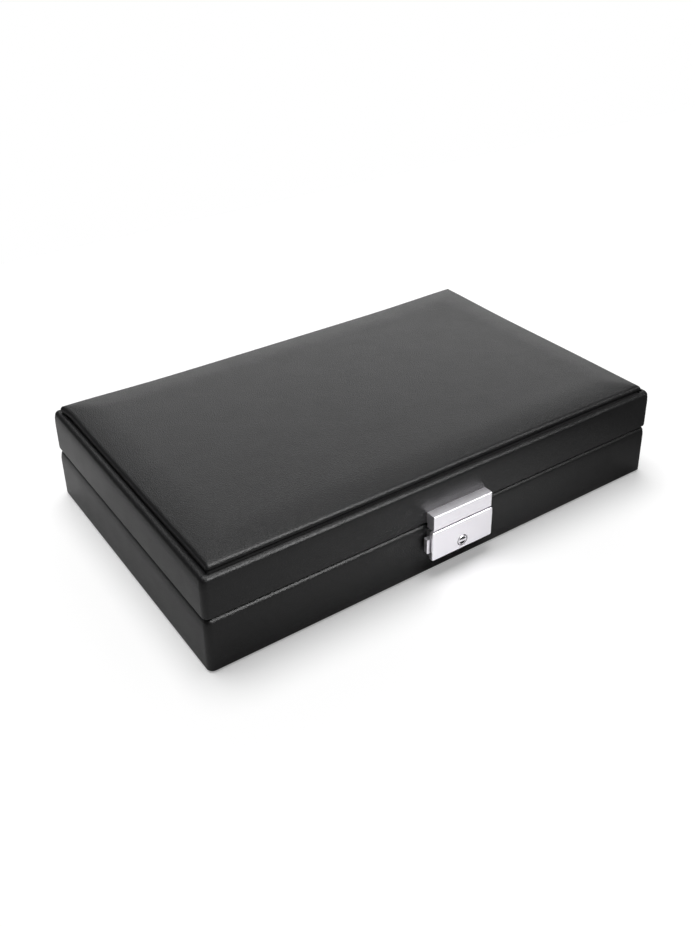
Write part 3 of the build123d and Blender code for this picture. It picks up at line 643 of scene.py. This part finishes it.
# ---------------------------------------------------------------- pull tabs of the tray
# Two tongues of black leather, glued inside the tray's end walls, to lift the tray by.
tab_leather = leather_finish("tab_leather", (0.014, 0.0135, 0.0145), (0.024, 0.023, 0.025), 0.45, 0.5 * mm)
tabs_low, tabs_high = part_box("tray_pull_tabs")
for name, near, far in (("pull_tab_left", tabs_low.x, tabs_low.x + mm),
                        ("pull_tab_right", tabs_high.x - mm, tabs_high.x)):
    tongue = block(name, (near, tabs_low.y, tabs_low.z), (far, tabs_high.y, tabs_high.z))
    bpy.ops.object.mode_set(mode="EDIT")
    choose("EDGE", lambda middle, edge: abs(edge.verts[0].co.x - edge.verts[1].co.x) > 1e-5)
    bpy.ops.mesh.bevel(offset=4 * mm, segments=8, affect="EDGES")
    bpy.ops.object.mode_set(mode="OBJECT")
    finish_with(tongue, "BEVEL", width=0.2 * mm, segments=2, limit_method="ANGLE")
    smooth(tongue)
    tongue.data.materials.append(tab_leather)
    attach(tongue, "tray")
    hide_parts("tray_pull_tabs")


# ---------------------------------------------------------------- leather cover of the lid
# The same black leather round the lid's boards: from the inside edge of the wall ends, up the
# walls, over the rounded rim and down into the groove round the padded panel. Cut for the hinges.
lid_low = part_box("lid_leather")[0].z
rim_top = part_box("lid_leather")[1].z
rim_round = 2.0 * mm
rim_left = 4.4 * mm
rim_right = 3.0 * mm
lean_left = 1.3 * mm
lean_right = 0.8 * mm
lean_front = 0.6 * mm
groove_start = 0.1 * mm
corner_rise = 2.0 * mm
corner_reach = 7 * mm

lid_cover = block("lid_cover", (-box_length / 2, -box_depth / 2, lid_low),
                  (box_length / 2, box_depth / 2, rim_top))
bpy.ops.object.mode_set(mode="EDIT")
choose("FACE", lambda middle, face: face.normal.z < -0.99)
bpy.ops.mesh.inset(thickness=wall)
bpy.ops.mesh.delete(type="FACE")
add_rows([rim_top - drop * mm for drop in lean_rows])
round_corners(corner_round)
round_level_edge(rim_top, rim_round, 8)
round_level_edge(lid_low, 1.4 * mm, 4)
draw_in(rim_top, left=lean_left, right=lean_right, front=lean_front, outside=4 * mm)
choose("FACE", lambda middle, face: face.normal.z > 0.9999 and abs(middle.x) < 50 * mm)
bpy.ops.mesh.inset(thickness=groove_start)
shape = bmesh.from_edit_mesh(lid_cover.data)
for vertex in shape.verts:
    if vertex.select and vertex.co.x < 0:
        vertex.co.x += rim_left - rim_round - lean_left - groove_start
    elif vertex.select:
        vertex.co.x -= rim_right - rim_round - lean_right - groove_start
bmesh.update_edit_mesh(lid_cover.data)
bpy.ops.mesh.inset(thickness=0.3 * mm, depth=-0.1 * mm)
bpy.ops.mesh.delete(type="FACE")
# The back left corner of the rim curls up a little.
shape = bmesh.from_edit_mesh(lid_cover.data)
for vertex in shape.verts:
    away = math.hypot(box_length / 2 + vertex.co.x, box_depth / 2 - vertex.co.y)
    if vertex.co.z > rim_top - 5 * mm:
        vertex.co.z += corner_rise * math.exp(-(away / corner_reach) ** 2)
bmesh.update_edit_mesh(lid_cover.data)
bpy.ops.object.mode_set(mode="OBJECT")
finish_with(lid_cover, "SOLIDIFY", thickness=leather, offset=-1)
cut_away(lid_cover, hinge_room(lid_low - 2 * mm, lid_low + seat_depth))
smooth(lid_cover)
lid_cover.data.materials.append(black_leather)
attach(lid_cover, "lid")
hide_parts("lid_leather")


# ---------------------------------------------------------------- padded panel of the lid
# A board with foam on it, covered in one piece of the black leather that is drawn tight over the
# edge and glued underneath, so the edge rolls and the top is softly crowned. It is set into the
# lid, and its edge stands over the groove.
panel_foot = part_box("panel_leather")[0].z
panel_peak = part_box("panel_leather")[1].z
panel_left = -box_length / 2 + 4.9 * mm
panel_right = box_length / 2 - 3.7 * mm
panel_front = -box_depth / 2 + 3.8 * mm
panel_back = box_depth / 2 - 3.7 * mm
roll_top = 55.3 * mm
roll_width = 2.3 * mm
roll_drop = 2.7 * mm
fade = 18 * mm
peak = panel_peak - 0.9 * mm


def spacing(low, high, step):
    """Grid lines that crowd together at both edges, where the leather rolls over."""
    near = [value * mm for value in (0, 0.25, 0.6, 1.1, 1.8, 2.8, 4.2, 6.0, 8.5, 11.5)]
    count = max(1, round((high - low - 2 * near[-1]) / step))
    inner = [near[-1] + (high - low - 2 * near[-1]) * n / count for n in range(1, count)]
    return [low + value for value in near + inner] + [high - value for value in reversed(near)]


def panel_height(inside):
    """Height of the leather at this distance from the panel's edge."""
    if inside < roll_width:
        along = 1 - inside / roll_width
        return roll_top - roll_drop * (1 - math.sqrt(max(0.0, 1 - along ** 2)))
    along = min((inside - roll_width) / fade, 1.0)
    return roll_top + (peak - roll_top) * (2 * along - along ** 2)


columns = spacing(panel_left, panel_right, 3.0 * mm)
rows = spacing(panel_front, panel_back, 3.0 * mm)
bpy.ops.object.select_all(action="DESELECT")
bpy.ops.mesh.primitive_grid_add(x_subdivisions=len(columns) - 1, y_subdivisions=len(rows) - 1, size=1)
panel_cushion = bpy.context.object
panel_cushion.name = "panel_cushion"
panel_corner = 1.2 * mm
# How much each corner of the panel is lifted, by whether it lies to the right and to the back.
corner_lift = {(False, False): 0.2 * mm, (False, True): 1.3 * mm,
               (True, True): 1.2 * mm, (True, False): -0.5 * mm}
for vertex in panel_cushion.data.vertices:
    column = round((vertex.co.x + 0.5) * (len(columns) - 1))
    row = round((vertex.co.y + 0.5) * (len(rows) - 1))
    place = Vector((columns[column], rows[row], 0))
    reach_x = min(place.x - panel_left, panel_right - place.x)
    reach_y = min(place.y - panel_front, panel_back - place.y)
    inside = min(reach_x, reach_y)
    if reach_x < panel_corner and reach_y < panel_corner:
        out = Vector((panel_corner - reach_x, panel_corner - reach_y))
        shrink = max(out) / out.length if out.length > 0 else 1.0
        out = out * shrink
        inside = panel_corner - out.length
        place.x = (panel_left + panel_corner - out.x if place.x < 0
                   else panel_right - panel_corner + out.x)
        place.y = (panel_front + panel_corner - out.y if place.y < 0
                   else panel_back - panel_corner + out.y)
    corner = math.hypot(reach_x, reach_y)
    lift = corner_lift[place.x > 0, place.y > 0] * math.exp(-(corner / (40 * mm)) ** 2)
    if place.x < 0 < place.y:
        place.x -= 1.5 * mm * math.exp(-(corner / corner_reach) ** 2)
    vertex.co = Vector((place.x, place.y, panel_height(inside) + lift))
bpy.ops.object.mode_set(mode="EDIT")
bpy.ops.mesh.select_all(action="SELECT")
bpy.ops.mesh.region_to_loop()
for drop, tuck in ((0.4, 0.25), (0.6, 0.45), (0.5, 0.2)):
    extend_rim(lambda co: (co.x - tuck * mm * (1 if co.x > 0 else -1),
                           co.y - tuck * mm * (1 if co.y > 0 else -1), co.z - drop * mm))
extend_rim(lambda co: (co.x, co.y, panel_foot))
close_up()
hold(panel_cushion, lambda co: min(co.x - panel_left, panel_right - co.x,
                                   co.y - panel_front, panel_back - co.y) < 1.5 * mm)
plump(panel_cushion, 0.6, 0.5 * mm)
smooth(panel_cushion, 80)
panel_cushion.data.materials.append(black_leather)
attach(panel_cushion, "lid")
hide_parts("panel_leather", "panel_foam")


# ---------------------------------------------------------------- lining and soft pad of the lid
# A velour band round the walls and, under the top board, a thin padded sheet of the same velour.
velour_band("lid_wall_velour", "lid_wall_lining", "lid", grey_velour)
low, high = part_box("lid_pad")
lid_cushion = pad("lid_cushion", low, high, 86, 52, 8 * mm, 1.3 * mm, up=-1)
hold(lid_cushion, lambda co: min(co.x - low.x, high.x - co.x, co.y - low.y, high.y - co.y) < 2 * mm)
plump(lid_cushion, 2.0, 0.5 * mm)
smooth(lid_cushion, 60)
lid_cushion.data.materials.append(grey_velour)
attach(lid_cushion, "lid")
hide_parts("lid_pad")


# ---------------------------------------------------------------- hinges
# Two small butt hinges of nickel-plated steel, let into the edges at the back and held by
# countersunk screws, with plain steel pins.
def metal_finish(name, colour, roughness, brush):
    """Plated metal: a satin polish with fine lengthwise brushing and faint handling marks."""
    material, tree, shader = principled(name, colour, roughness)
    shader.inputs["Metallic"].default_value = 1.0
    coords = object_coords(tree)
    stretch = tree.nodes.new("ShaderNodeMapping")
    stretch.inputs["Scale"].default_value = (0.12, 1, 1)
    tree.links.new(coords, stretch.inputs["Vector"])
    lines = add_up(tree, speckle(tree, stretch.outputs["Vector"], brush, 6.0),
                   speckle(tree, coords, 5 * mm), 0.3)
    raise_surface(tree, shader, lines, 0.004 * mm, 0.5)
    tree.links.new(between(tree, lines, roughness - 0.05, roughness + 0.07, 0.4, 0.9),
                   shader.inputs["Roughness"])
    return material


def paint_shade_inside(name, colour, surface, depth):
    """The same metal, painted darker towards black behind a surface that faces the front: painted shade in
    the hollows behind the lock's face.
    """
    material = metal_finish(name, colour, 0.32, 0.15 * mm)
    tree = material.node_tree
    shader = tree.nodes["Principled BSDF"]
    inside = between(tree, object_place(tree, "Y"), 0.0, 1.0, surface, surface + depth)
    tree.links.new(tint(tree, inside, colour, (0.004, 0.004, 0.005)), shader.inputs["Base Color"])
    return material


nickel = metal_finish("nickel", (0.96, 0.94, 0.98), 0.42, 0.15 * mm)
steel = metal_finish("steel", (0.56, 0.56, 0.57), 0.35, 0.2 * mm)
give_material(nickel, "hinge_left_base_leaf", "hinge_right_base_leaf", "hinge_left_lid_leaf",
              "hinge_right_lid_leaf")
give_material(steel, "hinge_left_pin", "hinge_right_pin", "base_hinge_screws", "lid_hinge_screws")


# ---------------------------------------------------------------- lock and striker
# A small pressed case lock: nickel face plate with its edge folded back over a steel case, a key
# plug with a barred recess, two push tabs on springs, and a striker bar on the lid above it.
plate_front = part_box("lock_plate")[0].y
give_material(nickel, "lock_plate", "striker", "push_tab_left", "push_tab_right")
# Painted shade: the key plug's pits and the collar turn black with depth behind the plate's face.
give_material(paint_shade_inside("plug_nickel", (0.96, 0.94, 0.98), plate_front, 0.4 * mm), "lock_plug")
give_material(paint_shade_inside("collar_steel", (0.50, 0.50, 0.51), plate_front - mm, 1.2 * mm), "lock_collar")
give_material(steel, "lock_case", "lock_cam", "catch_left", "catch_right",
              "catch_spring_left", "catch_spring_right", "lock_screws", "striker_hooks", "striker_screws")

low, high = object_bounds()
